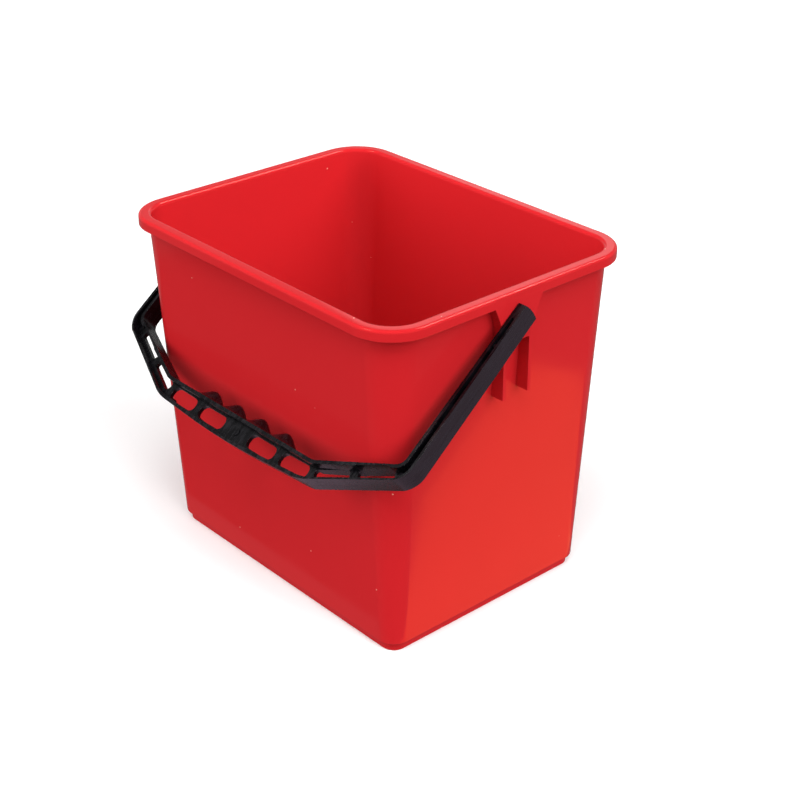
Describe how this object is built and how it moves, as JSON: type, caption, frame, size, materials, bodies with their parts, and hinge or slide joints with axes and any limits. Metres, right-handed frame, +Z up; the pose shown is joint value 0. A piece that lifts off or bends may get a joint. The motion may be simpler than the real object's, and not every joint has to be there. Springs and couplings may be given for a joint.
{
  "type": "wash bucket",
  "caption": "Tapered rectangular wash bucket with a turned-down rim and a foot ring, and a swinging handle with a slotted grip and finger bumps.",
  "frame": {"origin": "centre of the foot ring's underside, midway between the two pivots", "axes": "+Z up, X along the long side and parallel to the hinge line, -Y towards the front, where the handle rests"},
  "size_m": [0.278, 0.2252, 0.23],
  "materials": {
    "bucket_red": "satin",
    "handle_black": "satin"
  },
  "bodies": {
    "bucket_body": {"bucket": "bucket_red"},
    "handle_body": {"handle": "handle_black"}
  },
  "joints": [
    {"name": "handle_swing", "type": "hinge", "parent": "bucket_body", "child": "handle_body", "pos_m": [0, 0, 0.2144], "axis": [-1, 0, 0], "range_deg": [0, 258]}
  ]
}
